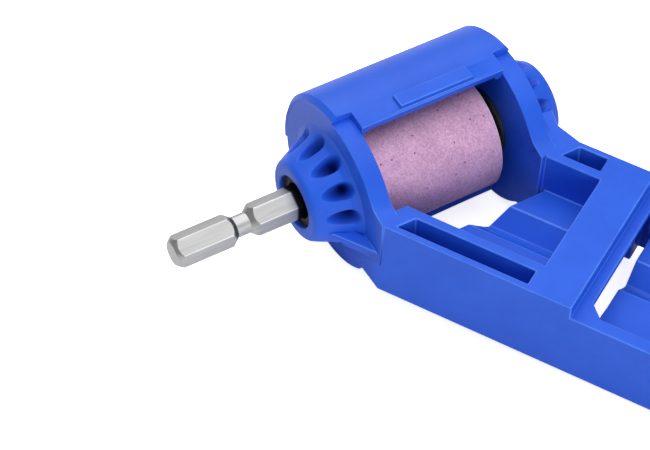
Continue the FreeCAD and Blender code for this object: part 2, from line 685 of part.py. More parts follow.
nut_plan = [(x if i not in (1, 4) else "0", y) for i, (x, y) in enumerate(nut_plan)]
grow(nut, "Pad", "nut_block", outline(nut, "nut_section", "YZ_Plane", nut_plan, lift="nut_face"),
     length="nut_height")
nut_bore = rings(nut, "nut_bore_section", "YZ_Plane", [("0", "0", "seat_radius")], lift="nut_face + nut_height")
grow(nut, "Pocket", "nut_bore", nut_bore, length="nut_height")

doc.recompute()
pieces = [frame, hood, near_bush, far_bush, near_washer, far_washer, spindle, wheel, near_blotter, near_flange,
          far_blotter, far_flange, nut]
for item in doc.Objects:
    if "Invalid" in item.State or "Error" in item.State:
        raise RuntimeError(f"{item.Label} failed: {item.State}")
for piece in pieces:
    shape = piece.Shape
    if shape.isNull() or not shape.isValid() or len(shape.Solids) != 1:
        raise RuntimeError(f"{piece.Label} is not one valid solid: {len(shape.Solids)}")

os.makedirs("parts", exist_ok=True)
for piece in pieces:
    shape = Part.Solid(piece.Shape.Solids[0])
    shape.exportStep(f"parts/{piece.Label}.step")
    box = shape.BoundBox
    print(f"{piece.Label:20s} {shape.Volume:10.1f} mm3  x {box.XMin:.2f} {box.XMax:.2f}"
          f"  y {box.YMin:.2f} {box.YMax:.2f}  z {box.ZMin:.2f} {box.ZMax:.2f}")
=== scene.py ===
# %% [markdown]
# # A drill bit sharpener, dressed in Blender
#
# The solids of the tool already exist: a blue moulded frame with a drum at one end, a hood over the drum, a
# grinding wheel on a steel spindle, and the bushes, washers and clamp that hold it. They arrive as a fixed
# model in metres. This lesson gives each piece the edges and the surface that the real one has, then lights
# it and points a camera at it.

# %% Load the solids
import json
import math

import bpy
from mathutils import Matrix, Vector


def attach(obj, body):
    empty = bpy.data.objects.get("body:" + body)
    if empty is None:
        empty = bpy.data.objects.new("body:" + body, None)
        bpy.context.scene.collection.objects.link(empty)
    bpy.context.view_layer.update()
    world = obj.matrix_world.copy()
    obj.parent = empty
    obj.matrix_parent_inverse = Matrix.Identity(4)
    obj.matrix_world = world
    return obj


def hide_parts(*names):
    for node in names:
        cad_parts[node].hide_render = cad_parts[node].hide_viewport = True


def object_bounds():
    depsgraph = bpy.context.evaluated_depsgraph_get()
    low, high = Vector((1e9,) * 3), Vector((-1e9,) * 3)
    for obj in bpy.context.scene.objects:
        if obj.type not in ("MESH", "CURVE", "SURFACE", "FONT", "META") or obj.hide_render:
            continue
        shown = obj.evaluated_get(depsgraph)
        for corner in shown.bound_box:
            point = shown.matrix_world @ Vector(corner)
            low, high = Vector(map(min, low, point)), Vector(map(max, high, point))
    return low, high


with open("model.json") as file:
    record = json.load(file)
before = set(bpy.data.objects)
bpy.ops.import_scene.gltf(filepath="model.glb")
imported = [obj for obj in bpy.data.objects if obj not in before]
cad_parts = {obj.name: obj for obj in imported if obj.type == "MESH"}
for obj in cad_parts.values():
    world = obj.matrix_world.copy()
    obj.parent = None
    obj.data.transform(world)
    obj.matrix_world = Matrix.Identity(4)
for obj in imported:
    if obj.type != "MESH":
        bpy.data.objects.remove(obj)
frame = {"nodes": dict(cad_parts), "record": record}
solid_low, solid_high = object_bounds()
MM = 0.001
print("pieces:", ", ".join(sorted(frame["nodes"])))
print("box in mm:", [round(v / MM, 1) for v in (*solid_low, *solid_high)])

# %% [markdown]
# ## The camera
#
# The picture is a close product shot from above the shank's side, taken with a long lens, so lines that are
# parallel on the tool stay nearly parallel. The camera is therefore far away with a lens of about 140 mm.
# Its place comes from the drum's rims and the handle's edges, which were measured once and are only
# repeated here. A camera looks along its own -Z with +Y up, so its three axes are written as the columns of
# a matrix.

# %% Point the camera
AIM = Vector((23.13, 22.23, 0.0)) * MM
AZIMUTH = math.radians(26.99)
ELEVATION = math.radians(50.32)
ROLL = math.radians(2.43)
DISTANCE = 523.83 * MM
FOCAL_PIXELS = 2554.27
PICTURE_WIDTH = 650
SENSOR_WIDTH = 36.0

level_right = Vector((math.cos(AZIMUTH), math.sin(AZIMUTH), 0.0))
level_ahead = Vector((-math.sin(AZIMUTH), math.cos(AZIMUTH), 0.0))
ahead = level_ahead * math.cos(ELEVATION) - Vector((0, 0, 1)) * math.sin(ELEVATION)
level_up = level_ahead * math.sin(ELEVATION) + Vector((0, 0, 1)) * math.cos(ELEVATION)
right = level_right * math.cos(ROLL) + level_up * math.sin(ROLL)
up = level_up * math.cos(ROLL) - level_right * math.sin(ROLL)

bpy.ops.object.select_all(action="DESELECT")
bpy.ops.object.camera_add(location=AIM - ahead * DISTANCE)
camera = bpy.context.active_object
camera.name = "product_camera"
camera.rotation_euler = Matrix((right, up, -ahead)).transposed().to_euler()
camera.data.sensor_fit = "HORIZONTAL"
camera.data.sensor_width = SENSOR_WIDTH
camera.data.lens = FOCAL_PIXELS / PICTURE_WIDTH * SENSOR_WIDTH
camera.data.clip_start = 0.01
bpy.context.scene.camera = camera
print("camera at", [round(v, 3) for v in camera.location], "lens", round(camera.data.lens, 1))

# %% [markdown]
# ## Floor and light
#
# The tool rests on the belly of its drum and on one corner of its tail, so it leans by a few degrees. The
# solids stay where they are and the floor leans instead: it is turned about the drum's axis until it
# touches both. A white card and three large soft lamps then make the even light of a product shot: one big
# lamp overhead for the tops, a low one past the handle's end for the long wall and the wheel, and one
# behind the drum, whose light glances off the hood and the cross bars but is kept out of the troughs by the
# drum.

# %% Lay the floor
wheel_axis = Vector(frame["record"]["behaviour"]["joints"][0]["axis"]).normalized()
toward_handle = Vector((wheel_axis.y, -wheel_axis.x, 0.0))
DRUM_ALONG = 58.5
DRUM_RADIUS = 18.5 * MM
TAIL_ASIDE = 28.35 * MM
TAIL_DROP = 12.45 * MM
FLOOR_SIZE = 4.0
FLOOR_GAP = 0.02 * MM
drum_middle = wheel_axis * DRUM_ALONG * MM
tail_corner = Vector((solid_high.x, drum_middle.y - TAIL_ASIDE, -TAIL_DROP))
reach = (tail_corner - drum_middle).dot(toward_handle)
# The lean solves reach * sin(lean) + drop * cos(lean) = drum radius.
span = math.hypot(reach, tail_corner.z)
lean = math.asin(DRUM_RADIUS / span) - math.atan2(-tail_corner.z, reach)

bpy.ops.object.select_all(action="DESELECT")
bpy.ops.mesh.primitive_plane_add(size=FLOOR_SIZE)
floor = bpy.context.active_object
floor.name = "floor_card"
floor_normal = Vector((0, 0, 1)) * math.cos(lean) - toward_handle * math.sin(lean)
floor.rotation_euler = floor_normal.to_track_quat("Z", "Y").to_euler()
floor.location = drum_middle - floor_normal * (DRUM_RADIUS + FLOOR_GAP)
print("floor leans", round(math.degrees(lean), 2), "degrees")

# %% Hang the lamps
world = bpy.data.worlds.new("studio_white")
bpy.context.scene.world = world
world.use_nodes = True
sky = world.node_tree.nodes["Background"]
sky.inputs["Color"].default_value = (1.0, 1.0, 1.0, 1.0)
sky.inputs["Strength"].default_value = 0.20
bpy.context.scene.view_settings.view_transform = "Standard"
LAMP_AIM = Vector((0.045, 0.045, 0.0))


def soft_lamp(name, place, size, power):
    bpy.ops.object.select_all(action="DESELECT")
    bpy.ops.object.light_add(type="AREA", location=place)
    lamp = bpy.context.active_object
    lamp.name = name
    lamp.data.shape = "DISK"
    lamp.data.size = size
    lamp.data.energy = power
    aim = LAMP_AIM - Vector(place)
    lamp.rotation_euler = aim.to_track_quat("-Z", "Y").to_euler()
    print(name, power, "W")


soft_lamp("overhead_lamp", (0.05, 0.05, 0.90), 1.20, 7.7)
soft_lamp("near_lamp", (0.88, -0.52, 0.28), 0.60, 4.6)
soft_lamp("back_lamp", (-0.52, 0.58, 0.58), 0.70, 3.3)

# %% [markdown]
# ## Shared effects
#
# Several finishes share three effects. Blotches are a slow change of tone over the surface, fine grit
# breaks up the gloss, and paled edges are a painted highlight where the rounded edges catch the light,
# made uneven in patches like wear from handling. Each is built once as a node group with named sockets
# and placed in the materials with its own values. The textures read Object coordinates, which are metres
# on this model, so a scale of 1000 is one feature to a millimetre.


# %% Start of a node group
def new_group(name, inputs, outputs):
    group = bpy.data.node_groups.new(name, "ShaderNodeTree")
    for label, kind, value in inputs:
        socket = group.interface.new_socket(label, in_out="INPUT", socket_type=kind)
        if value is not None:
            socket.default_value = value
    for label, kind in outputs:
        group.interface.new_socket(label, in_out="OUTPUT", socket_type=kind)
    enter = group.nodes.new("NodeGroupInput")
    leave = group.nodes.new("NodeGroupOutput")
    return group, enter, leave


# %% Tone blotches
blotches, enter, leave = new_group(
    "tone_blotches",
    [("Vector", "NodeSocketVector", None), ("Scale", "NodeSocketFloat", 80.0),
     ("Dark", "NodeSocketColor", (0.5, 0.5, 0.5, 1.0)), ("Light", "NodeSocketColor", (0.6, 0.6, 0.6, 1.0))],
    [("Color", "NodeSocketColor"), ("Mask", "NodeSocketFloat")])
cloud = blotches.nodes.new("ShaderNodeTexNoise")
cloud.inputs["Detail"].default_value = 4.0
cloud.inputs["Roughness"].default_value = 0.6
ramp = blotches.nodes.new("ShaderNodeMapRange")
ramp.inputs["From Min"].default_value = 0.32
ramp.inputs["From Max"].default_value = 0.68
tone = blotches.nodes.new("ShaderNodeMix")
tone.data_type = "RGBA"
blotches.links.new(enter.outputs["Vector"], cloud.inputs["Vector"])
blotches.links.new(enter.outputs["Scale"], cloud.inputs["Scale"])
blotches.links.new(cloud.outputs["Fac"], ramp.inputs["Value"])
blotches.links.new(ramp.outputs["Result"], tone.inputs["Factor"])
blotches.links.new(enter.outputs["Dark"], tone.inputs["A"])
blotches.links.new(enter.outputs["Light"], tone.inputs["B"])
blotches.links.new(tone.outputs["Result"], leave.inputs["Color"])
blotches.links.new(ramp.outputs["Result"], leave.inputs["Mask"])
print("group", blotches.name)

# %% Fine grit
grit, enter, leave = new_group(
    "fine_grit",
    [("Vector", "NodeSocketVector", None), ("Scale", "NodeSocketFloat", 3000.0),
     ("Smooth", "NodeSocketFloat", 0.35), ("Rough", "NodeSocketFloat", 0.45)],
    [("Height", "NodeSocketFloat"), ("Roughness", "NodeSocketFloat")])
speck = grit.nodes.new("ShaderNodeTexNoise")
speck.inputs["Detail"].default_value = 3.0
dull = grit.nodes.new("ShaderNodeMapRange")
dull.inputs["From Min"].default_value = 0.35
dull.inputs["From Max"].default_value = 0.65
grit.links.new(enter.outputs["Vector"], speck.inputs["Vector"])
grit.links.new(enter.outputs["Scale"], speck.inputs["Scale"])
grit.links.new(speck.outputs["Fac"], dull.inputs["Value"])
grit.links.new(enter.outputs["Smooth"], dull.inputs["To Min"])
grit.links.new(enter.outputs["Rough"], dull.inputs["To Max"])
grit.links.new(speck.outputs["Fac"], leave.inputs["Height"])
grit.links.new(dull.outputs["Result"], leave.inputs["Roughness"])
print("group", grit.name)

# %% Edge highlight and wear
highlight_and_wear, enter, leave = new_group(
    "edge_highlight_and_wear",
    [("Color", "NodeSocketColor", (0.5, 0.5, 0.5, 1.0)), ("Highlight", "NodeSocketColor", (0.7, 0.7, 0.7, 1.0)),
     ("Edge", "NodeSocketFloat", 0.0), ("Patches", "NodeSocketFloat", 1.0)],
    [("Color", "NodeSocketColor")])
# Painted highlight: the tone is paled where the edge mask is high, unevenly in patches like wear.
uneven = highlight_and_wear.nodes.new("ShaderNodeMapRange")
uneven.inputs["To Min"].default_value = 0.45
share = highlight_and_wear.nodes.new("ShaderNodeMath")
share.operation = "MULTIPLY"
paler = highlight_and_wear.nodes.new("ShaderNodeMix")
paler.data_type = "RGBA"
highlight_and_wear.links.new(enter.outputs["Patches"], uneven.inputs["Value"])
highlight_and_wear.links.new(uneven.outputs["Result"], share.inputs[0])
highlight_and_wear.links.new(enter.outputs["Edge"], share.inputs[1])
highlight_and_wear.links.new(share.outputs["Value"], paler.inputs["Factor"])
highlight_and_wear.links.new(enter.outputs["Color"], paler.inputs["A"])
highlight_and_wear.links.new(enter.outputs["Highlight"], paler.inputs["B"])
highlight_and_wear.links.new(paler.outputs["Result"], leave.inputs["Color"])
print("group", highlight_and_wear.name)


# %% Start of a material
def new_material(name):
    material = bpy.data.materials.new(name)
    material.use_nodes = True
    nodes = material.node_tree.nodes
    place = nodes.new("ShaderNodeTexCoord")
    return material, nodes, material.node_tree.links, nodes["Principled BSDF"], place.outputs["Object"]


def add_group(nodes, links, group, vector, **values):
    node = nodes.new("ShaderNodeGroup")
    node.node_tree = group
    links.new(vector, node.inputs["Vector"])
    for label, value in values.items():
        node.inputs[label].default_value = value
    return node


def add_edge_highlight(nodes, links, tone, edge, color):
    """Pales a tone where the edge mask is high: a painted highlight, uneven in patches like wear."""
    node = nodes.new("ShaderNodeGroup")
    node.node_tree = highlight_and_wear
    node.inputs["Highlight"].default_value = color
    links.new(tone.outputs["Color"], node.inputs["Color"])
    links.new(tone.outputs["Mask"], node.inputs["Patches"])
    links.new(edge, node.inputs["Edge"])
    return node


def add_bump(nodes, links, shader, height, distance, strength):
    bump = nodes.new("ShaderNodeBump")
    bump.inputs["Distance"].default_value = distance
    bump.inputs["Strength"].default_value = strength
    links.new(height, bump.inputs["Height"])
    links.new(bump.outputs["Normal"], shader.inputs["Normal"])


# %% [markdown]
# ## Moulded blue plastic
#
# The frame and hood are moulded in a strong blue plastic with a satin skin: the mould was spark eroded,
# which leaves a very fine even grain, and the pigment is not perfectly mixed. A slow blotch of two close
# blues and a fine bump give that. The gloss stays low, so flat faces read as broad soft areas. Edges are
# paler, a painted highlight where the rounded edges catch the light, made uneven in patches like wear: the
# mesh marks the middle of each softened edge in a point attribute. The pockets of the noses are painted a
# deeper blue towards the bottom, a painted shade for the little light that gets out of them, and a second
# attribute says how deep each point lies, as a share of the depth where that shade is full. Both
# attributes are made further down, with the meshes.

# %% Blue plastic
blue_plastic, nodes, links, shader, place = new_material("moulded_blue_plastic")
pigment = add_group(nodes, links, blotches, place, Scale=95.0,
                    Dark=(0.014, 0.098, 0.665, 1.0), Light=(0.019, 0.116, 0.740, 1.0))
skin = add_group(nodes, links, grit, place, Scale=4200.0, Smooth=0.36, Rough=0.50)
# Painted highlight along the softened edges, uneven in patches like wear.
soft_edge = nodes.new("ShaderNodeAttribute")
soft_edge.attribute_name = "edge_highlight_mark"
highlighted_and_worn = add_edge_highlight(nodes, links, pigment, soft_edge.outputs["Fac"], (0.110, 0.280, 0.950, 1.0))
# Painted shade: the pockets of the noses turn a deeper blue towards their bottoms.
pocket = nodes.new("ShaderNodeAttribute")
pocket.attribute_name = "painted_pocket_shade"
pocket_shade_paint = nodes.new("ShaderNodeMix")
pocket_shade_paint.data_type = "RGBA"
pocket_shade_paint.inputs["B"].default_value = (0.003, 0.016, 0.200, 1.0)
links.new(pocket.outputs["Fac"], pocket_shade_paint.inputs["Factor"])
links.new(highlighted_and_worn.outputs["Color"], pocket_shade_paint.inputs["A"])
links.new(pocket_shade_paint.outputs["Result"], shader.inputs["Base Color"])
links.new(skin.outputs["Roughness"], shader.inputs["Roughness"])
shader.inputs["Specular IOR Level"].default_value = 0.26
add_bump(nodes, links, shader, skin.outputs["Height"], distance=0.06 * MM, strength=0.35)
print(blue_plastic.name, len(nodes), "nodes")

# %% [markdown]
# ## Pink corundum
#
# The wheel is a block of pink abrasive grains baked together. Close up it is a mosaic of paler and darker
# grains about a third of a millimetre wide, with small dark pits a few millimetres apart. A Voronoi texture
# makes the grains, noise clouds the tone, and a second, coarser Voronoi places the pits. Both rims are pale,
# which a mask along the wheel's axis gives: partly wear, partly a painted highlight where their edges catch
# the light. The surface is dull, and a little sheen stands for the broken grains that lighten the wheel
# where it turns away.

# %% Grains of the wheel
corundum, nodes, links, shader, place = new_material("pink_corundum")
body_tone = add_group(nodes, links, blotches, place, Scale=160.0,
                      Dark=(0.560, 0.318, 0.500, 1.0), Light=(0.685, 0.405, 0.608, 1.0))
grains = nodes.new("ShaderNodeTexVoronoi")
grains.inputs["Scale"].default_value = 3400.0
links.new(place, grains.inputs["Vector"])
grain_value = nodes.new("ShaderNodeSeparateColor")
links.new(grains.outputs["Color"], grain_value.inputs["Color"])
grain_shade = nodes.new("ShaderNodeMapRange")
grain_shade.inputs["To Min"].default_value = 0.80
grain_shade.inputs["To Max"].default_value = 1.16
links.new(grain_value.outputs["Red"], grain_shade.inputs["Value"])
grain_color = nodes.new("ShaderNodeMix")
grain_color.data_type = "RGBA"
grain_color.blend_type = "MULTIPLY"
grain_color.inputs["Factor"].default_value = 1.0
links.new(body_tone.outputs["Color"], grain_color.inputs["A"])
links.new(grain_shade.outputs["Result"], grain_color.inputs["B"])
print("grains are", round(1 / grains.inputs["Scale"].default_value / MM, 2), "mm wide")

# %% Pits between the grains
pits = nodes.new("ShaderNodeTexVoronoi")
pits.inputs["Scale"].default_value = 420.0
links.new(place, pits.inputs["Vector"])
pit_mask = nodes.new("ShaderNodeMapRange")
pit_mask.inputs["From Min"].default_value = 0.05
pit_mask.inputs["From Max"].default_value = 0.12
links.new(pits.outputs["Distance"], pit_mask.inputs["Value"])
wheel_color = nodes.new("ShaderNodeMix")
wheel_color.data_type = "RGBA"
wheel_color.inputs["A"].default_value = (0.16, 0.06, 0.15, 1.0)
links.new(pit_mask.outputs["Result"], wheel_color.inputs["Factor"])
links.new(grain_color.outputs["Result"], wheel_color.inputs["B"])
print("pits are about", round(1 / pits.inputs["Scale"].default_value / MM, 1), "mm apart")

# %% Pale rims of the wheel, partly a painted highlight
AXIS_TURN = (0.0, 0.0, -math.atan2(wheel_axis.y, wheel_axis.x))
WHEEL_MIDDLE = 57.25 * MM
RIM_START = 13.75 * MM
RIM_END = 14.20 * MM
along = nodes.new("ShaderNodeMapping")
along.inputs["Rotation"].default_value = AXIS_TURN
along.inputs["Location"].default_value = (-WHEEL_MIDDLE, 0.0, 0.0)
links.new(place, along.inputs["Vector"])
wheel_place = nodes.new("ShaderNodeSeparateXYZ")
links.new(along.outputs["Vector"], wheel_place.inputs["Vector"])
from_middle = nodes.new("ShaderNodeMath")
from_middle.operation = "ABSOLUTE"
links.new(wheel_place.outputs["X"], from_middle.inputs[0])
rim = nodes.new("ShaderNodeMapRange")
rim.inputs["From Min"].default_value = RIM_START
rim.inputs["From Max"].default_value = RIM_END
rim.inputs["To Max"].default_value = 0.75
links.new(from_middle.outputs["Value"], rim.inputs["Value"])
# The rims are paled: partly wear, partly a painted highlight on their edges.
rim_highlight_and_wear = nodes.new("ShaderNodeMix")
rim_highlight_and_wear.data_type = "RGBA"
rim_highlight_and_wear.inputs["B"].default_value = (0.93, 0.80, 0.88, 1.0)
links.new(rim.outputs["Result"], rim_highlight_and_wear.inputs["Factor"])
links.new(wheel_color.outputs["Result"], rim_highlight_and_wear.inputs["A"])
links.new(rim_highlight_and_wear.outputs["Result"], shader.inputs["Base Color"])
print("rims pale from", round(RIM_START / MM, 2), "mm off the wheel's middle")

# %% Dull surface of the wheel
shader.inputs["Roughness"].default_value = 0.88
shader.inputs["Specular IOR Level"].default_value = 0.30
shader.inputs["Sheen Weight"].default_value = 0.25
shader.inputs["Sheen Roughness"].default_value = 0.35
relief = nodes.new("ShaderNodeMath")
relief.operation = "MULTIPLY"
links.new(grain_value.outputs["Red"], relief.inputs[0])
links.new(pit_mask.outputs["Result"], relief.inputs[1])
add_bump(nodes, links, shader, relief.outputs["Value"], distance=0.12 * MM, strength=0.55)
print(corundum.name, len(nodes), "nodes")

# %% [markdown]
# ## Steel, zinc, bronze and card
#
# The shank is drawn steel: its streaks run along the axis, so the noise is turned onto the axis and then
# squeezed across it. Its six corners carry a painted highlight, paled unevenly in patches like wear: they
# are simply the points that lie furthest from the axis. From the nose's mouth inwards the shank is painted
# near black, a painted shade for the bore, and a painted dark reflection lies across one side of the groove.
# The flanges and nut are zinc plated, and the bushes are sintered bronze soaked in oil, with open pores,
# painted darker still as shade inside the bores. The washers are dark nylon, made near black also as
# painted shade at the wheel's far end, and the blotters are plain card. Most of these sit inside the drum,
# where little light reaches them.


# %% Streaked metals
def streaked_metal(name, dark, light, smooth, rough, stretch):
    """Metal with streaks along the axis, with its turned coordinates and its tint for further work."""
    material, nodes, links, shader, place = new_material(name)
    turned = nodes.new("ShaderNodeMapping")
    turned.inputs["Rotation"].default_value = AXIS_TURN
    links.new(place, turned.inputs["Vector"])
    along = nodes.new("ShaderNodeMapping")
    along.inputs["Scale"].default_value = stretch
    links.new(turned.outputs["Vector"], along.inputs["Vector"])
    tint = add_group(nodes, links, blotches, along.outputs["Vector"], Scale=1.0, Dark=dark, Light=light)
    polish = add_group(nodes, links, grit, along.outputs["Vector"], Scale=3.0, Smooth=smooth, Rough=rough)
    links.new(tint.outputs["Color"], shader.inputs["Base Color"])
    links.new(polish.outputs["Roughness"], shader.inputs["Roughness"])
    shader.inputs["Metallic"].default_value = 1.0
    add_bump(nodes, links, shader, polish.outputs["Height"], distance=0.02 * MM, strength=0.25)
    print(name, len(nodes), "nodes")
    return material, turned, tint


shank_steel, turned, tint = streaked_metal(
    "drawn_steel", dark=(0.430, 0.430, 0.433, 1.0), light=(0.525, 0.523, 0.520, 1.0),
    smooth=0.42, rough=0.54, stretch=(60.0, 1500.0, 1500.0))
zinc_steel = streaked_metal(
    "zinc_plate", dark=(0.50, 0.51, 0.53, 1.0), light=(0.64, 0.66, 0.68, 1.0),
    smooth=0.25, rough=0.42, stretch=(400.0, 400.0, 400.0))[0]
# The bushes are near black: sintered bronze dark with oil, painted darker still as shade inside the bores.
bronze = streaked_metal(
    "sintered_bronze_painted_darker", dark=(0.014, 0.011, 0.009, 1.0), light=(0.034, 0.025, 0.018, 1.0),
    smooth=0.46, rough=0.70, stretch=(1900.0, 1900.0, 1900.0))[0]

# %% Painted highlight on the corners of the shank
CORNER_START = 3.55 * MM
CORNER_END = 3.65 * MM
nodes, links = shank_steel.node_tree.nodes, shank_steel.node_tree.links
across = nodes.new("ShaderNodeMapping")
across.inputs["Scale"].default_value = (0.0, 1.0, 1.0)
links.new(turned.outputs["Vector"], across.inputs["Vector"])
from_axis = nodes.new("ShaderNodeVectorMath")
from_axis.operation = "LENGTH"
links.new(across.outputs["Vector"], from_axis.inputs[0])
# Painted highlight: the six corners of the hex are paler, unevenly like wear.
corner_highlight_mask = nodes.new("ShaderNodeMapRange")
corner_highlight_mask.inputs["From Min"].default_value = CORNER_START
corner_highlight_mask.inputs["From Max"].default_value = CORNER_END
links.new(from_axis.outputs["Value"], corner_highlight_mask.inputs["Value"])
bright = add_edge_highlight(nodes, links, tint, corner_highlight_mask.outputs["Result"], (0.92, 0.92, 0.91, 1.0))
print("corners bright from", round(CORNER_START / MM, 2), "mm off the axis")

# %% Painted shade and a dark reflection on the shank
# Painted shade: from the nose's mouth inwards the shank is painted near black.
MOUTH_SHADE_START = 27.3 * MM
MOUTH_SHADE_END = 27.8 * MM
GROOVE_SIDE = 13.7 * MM
GROOVE_SIDE_HALF = 0.5 * MM
shank_place = nodes.new("ShaderNodeSeparateXYZ")
links.new(turned.outputs["Vector"], shank_place.inputs["Vector"])
in_nose = nodes.new("ShaderNodeMapRange")
in_nose.inputs["From Min"].default_value = MOUTH_SHADE_START
in_nose.inputs["From Max"].default_value = MOUTH_SHADE_END
links.new(shank_place.outputs["X"], in_nose.inputs["Value"])
# Painted reflection: a dark band across one side of the groove.
groove_side = nodes.new("ShaderNodeMath")
groove_side.operation = "COMPARE"
groove_side.inputs[1].default_value = GROOVE_SIDE
groove_side.inputs[2].default_value = GROOVE_SIDE_HALF
links.new(shank_place.outputs["X"], groove_side.inputs[0])
groove_dark_reflection = nodes.new("ShaderNodeMath")
groove_dark_reflection.operation = "MULTIPLY"
groove_dark_reflection.inputs[1].default_value = 0.72
links.new(groove_side.outputs["Value"], groove_dark_reflection.inputs[0])
painted_dark_mask = nodes.new("ShaderNodeMath")
painted_dark_mask.operation = "MAXIMUM"
links.new(in_nose.outputs["Result"], painted_dark_mask.inputs[0])
links.new(groove_dark_reflection.outputs["Value"], painted_dark_mask.inputs[1])
painted_dark_steel = nodes.new("ShaderNodeMix")
painted_dark_steel.data_type = "RGBA"
painted_dark_steel.inputs["B"].default_value = (0.012, 0.012, 0.014, 1.0)
links.new(painted_dark_mask.outputs["Value"], painted_dark_steel.inputs["Factor"])
links.new(bright.outputs["Color"], painted_dark_steel.inputs["A"])
links.new(painted_dark_steel.outputs["Result"], nodes["Principled BSDF"].inputs["Base Color"])
print(shank_steel.name, "now", len(nodes), "nodes")


# %% Card and nylon
def plain_skin(name, tone_scale, dark, light, grain_scale, smooth, rough, distance, strength):
    material, nodes, links, shader, place = new_material(name)
    tone = add_group(nodes, links, blotches, place, Scale=tone_scale, Dark=dark, Light=light)
    grain = add_group(nodes, links, grit, place, Scale=grain_scale, Smooth=smooth, Rough=rough)
    links.new(tone.outputs["Color"], shader.inputs["Base Color"])
    links.new(grain.outputs["Roughness"], shader.inputs["Roughness"])
    add_bump(nodes, links, shader, grain.outputs["Height"], distance, strength)
    print(name, len(nodes), "nodes")
    return material


blotter_card = plain_skin(
    "blotter_card", tone_scale=2200.0, dark=(0.50, 0.43, 0.31, 1.0), light=(0.68, 0.61, 0.47, 1.0),
    grain_scale=5200.0, smooth=0.85, rough=1.0, distance=0.04 * MM, strength=0.4)
# The washers are near black: dark nylon, made black also as painted shade at the wheel's far end.
nylon = plain_skin(
    "dark_nylon_and_painted_shade", tone_scale=420.0, dark=(0.012, 0.012, 0.015, 1.0), light=(0.022, 0.022, 0.026, 1.0),
    grain_scale=3600.0, smooth=0.40, rough=0.58, distance=0.03 * MM, strength=0.3)

# %% [markdown]
# ## White card under the tool
#
# The card is matt white with hardly any blotch. In a product shot it is lit until it goes fully white, but
# a card that bright would also throw light back up and flatten the shades of the tool. So the card glows
# only for the rays that come straight from the camera, which the Light Path node tells apart, and doesn't
# light the tool.

# %% Floor card
floor_white, nodes, links, shader, place = new_material("floor_white")
card_tone = add_group(nodes, links, blotches, place, Scale=6.0,
                      Dark=(0.93, 0.93, 0.93, 1.0), Light=(0.95, 0.95, 0.95, 1.0))
links.new(card_tone.outputs["Color"], shader.inputs["Base Color"])
shader.inputs["Roughness"].default_value = 0.9
shader.inputs["Specular IOR Level"].default_value = 0.1
shader.inputs["Emission Color"].default_value = (0.78, 0.78, 0.78, 1.0)
ray_kind = nodes.new("ShaderNodeLightPath")
links.new(ray_kind.outputs["Is Camera Ray"], shader.inputs["Emission Strength"])
floor.data.materials.append(floor_white)
print(floor_white.name, "on", floor.name)

# %% [markdown]
# ## Soft edges on the mouldings
#
# A moulded part has no knife edges: every corner has a small radius, and it is these that catch the light.
# The solids are sharp there, so each moulding is a copy of its solid whose mesh is joined up, whose flat
# faces are merged, and whose sharp edges are bevelled. Only edges that are long enough to take the radius
# are marked, because a bevel on the tiny edges of a curve would fold over itself.


# %% A copy of a solid
WELD = 0.002 * MM
FLAT_ANGLE = math.radians(0.3)


def pick_only(piece):
    bpy.ops.object.select_all(action="DESELECT")
    piece.select_set(True)
    bpy.context.view_layer.objects.active = piece


def joined_copy(node, name):
    """A copy of a solid, with its loose triangles welded together."""
    piece = bpy.data.objects.new(name, frame["nodes"][node].data.copy())
    piece.data.name = name
    bpy.context.scene.collection.objects.link(piece)
    pick_only(piece)
    bpy.ops.object.mode_set(mode="EDIT")
    bpy.ops.mesh.select_mode(type="VERT")
    bpy.ops.mesh.select_all(action="SELECT")
    bpy.ops.mesh.remove_doubles(threshold=WELD)
    bpy.ops.object.mode_set(mode="OBJECT")
    return piece


def merge_flats(piece):
    pick_only(piece)
    bpy.ops.object.mode_set(mode="EDIT")
    bpy.ops.mesh.select_all(action="SELECT")
    bpy.ops.mesh.dissolve_limited(angle_limit=FLAT_ANGLE)
    bpy.ops.object.mode_set(mode="OBJECT")
    print(piece.name, len(piece.data.polygons), "flat faces")


# %% [markdown]
# The bevel gives its new faces the second material slot, which is how they are told apart from the rest
# afterwards. Points that touch only such faces lie in the middle of a softened edge and are marked for the
# painted edge highlight. The bevel is tidied too: where two of them meet it can leave points on top of
# each other.


# %% Points of the painted edge highlight
def mark_edge_highlight(mesh):
    """Marks the points that lie inside the bevels, whose faces have the second material slot."""
    inside = [True] * len(mesh.vertices)
    for face in mesh.polygons:
        if face.material_index == 0:
            for i in face.vertices:
                inside[i] = False
        face.material_index = 0
    # Painted highlight: 1 in the middle of each bevel, where the edge is paled.
    highlight_mark = mesh.attributes.new("edge_highlight_mark", "FLOAT", "POINT")
    highlight_mark.data.foreach_set("value", [1.0 if mark else 0.0 for mark in inside])
    print(sum(inside), "rubbed points")


# %% Bevelled edges
SHARP_TURN = math.radians(34)
LONG_EDGE = 1.5 * MM
BEVEL_ROWS = 2
BEVEL_WELD = 0.003 * MM


